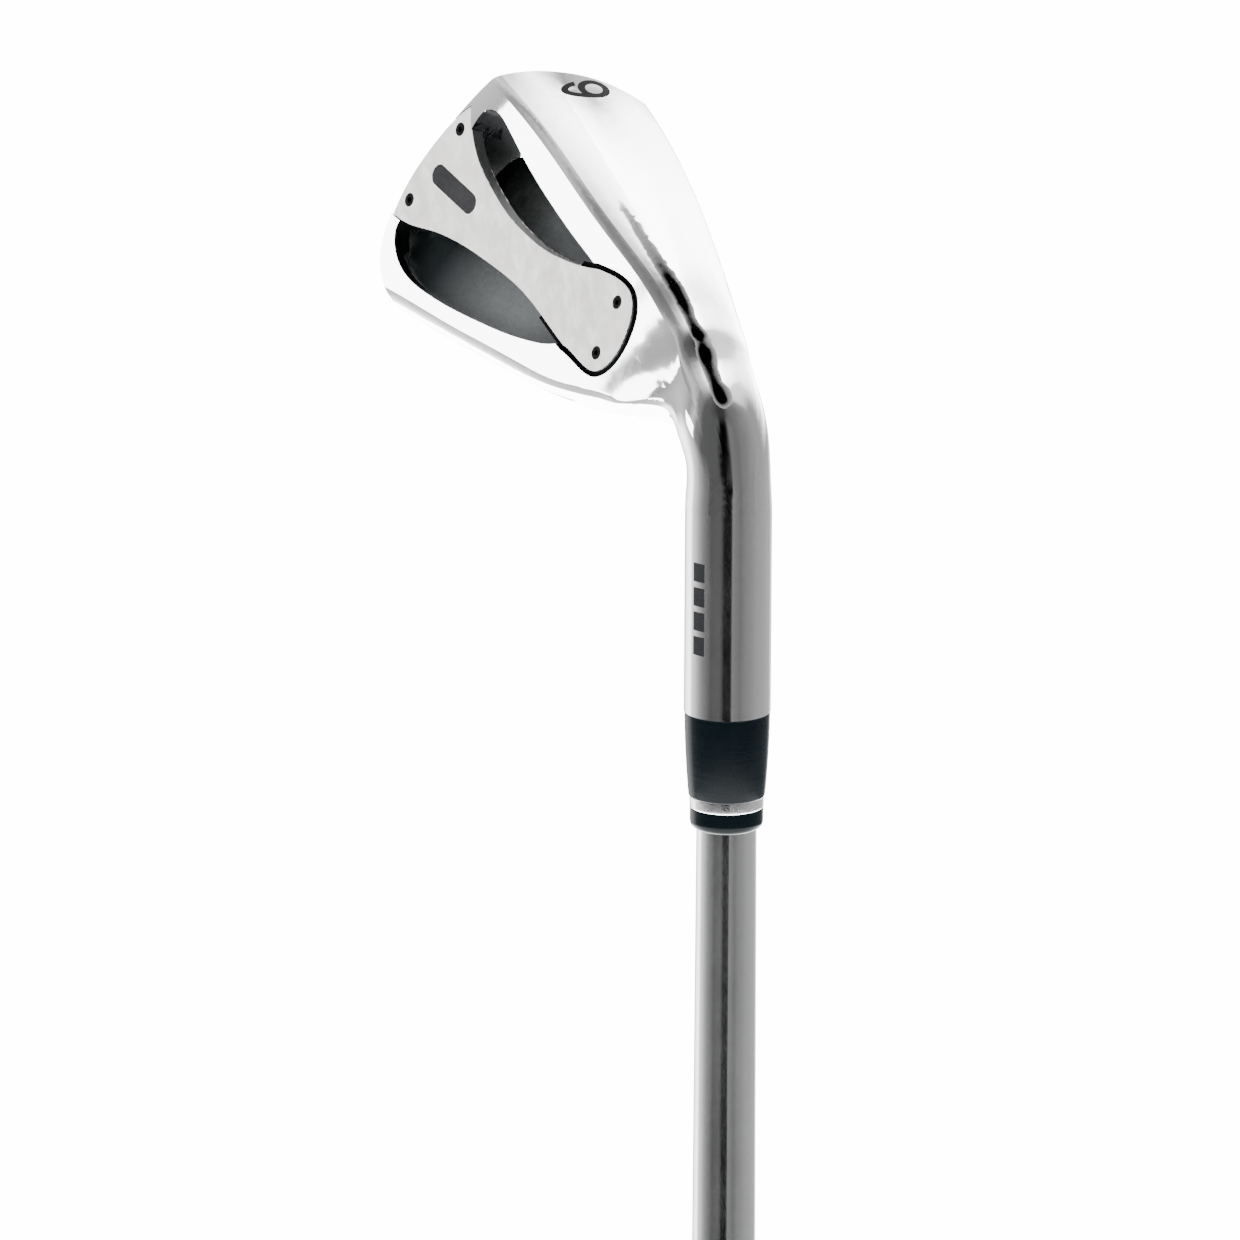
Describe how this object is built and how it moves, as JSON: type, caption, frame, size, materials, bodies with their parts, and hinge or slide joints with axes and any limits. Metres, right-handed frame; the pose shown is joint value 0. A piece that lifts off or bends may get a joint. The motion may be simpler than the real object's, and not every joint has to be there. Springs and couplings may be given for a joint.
{
  "type": "iron golf club",
  "caption": "Short iron golf club with a chrome cavity-back head, a screwed bridge across the cavity, a stepped steel shaft, a black ferrule and a rubber grip",
  "frame": {"origin": "centre of the flat butt end of the grip, where the vent hole opens", "axes": "+Z runs along the shaft axis from the butt to the head, +X toward the toe side, +Y toward the cavity back; the face looks toward -Y and its leading edge is on the low-X, -Y side"},
  "size_m": [0.1004, 0.0457, 0.9454],
  "materials": {
    "head_chrome": "polished chrome plate",
    "plate_steel": "dark satin",
    "bridge_steel": "fine satin",
    "gasket_rubber": "matt",
    "inlay_dark": "satin",
    "screw_dark": "black oxide",
    "mark_paint": "paint fill",
    "ferrule_plastic": "gloss",
    "trim_metal": "polished",
    "shaft_chrome": "polished chrome plate",
    "grip_rubber": "matt",
    "cap_plastic": "matt"
  },
  "bodies": {
    "root": {"head_body": "head_chrome", "face_plate": "plate_steel", "sling_bridge": "bridge_steel", "bridge_gasket": "gasket_rubber", "bridge_inlay": "inlay_dark", "bridge_screws": "screw_dark", "sole_digit_fill": "mark_paint", "hosel_dash_fill": "mark_paint", "ferrule_sleeve": "ferrule_plastic", "ferrule_trim_ring": "trim_metal", "ferrule_end_ring": "ferrule_plastic", "shaft": "shaft_chrome", "grip_sleeve": "grip_rubber", "grip_cap": "cap_plastic"}
  },
  "joints": []
}
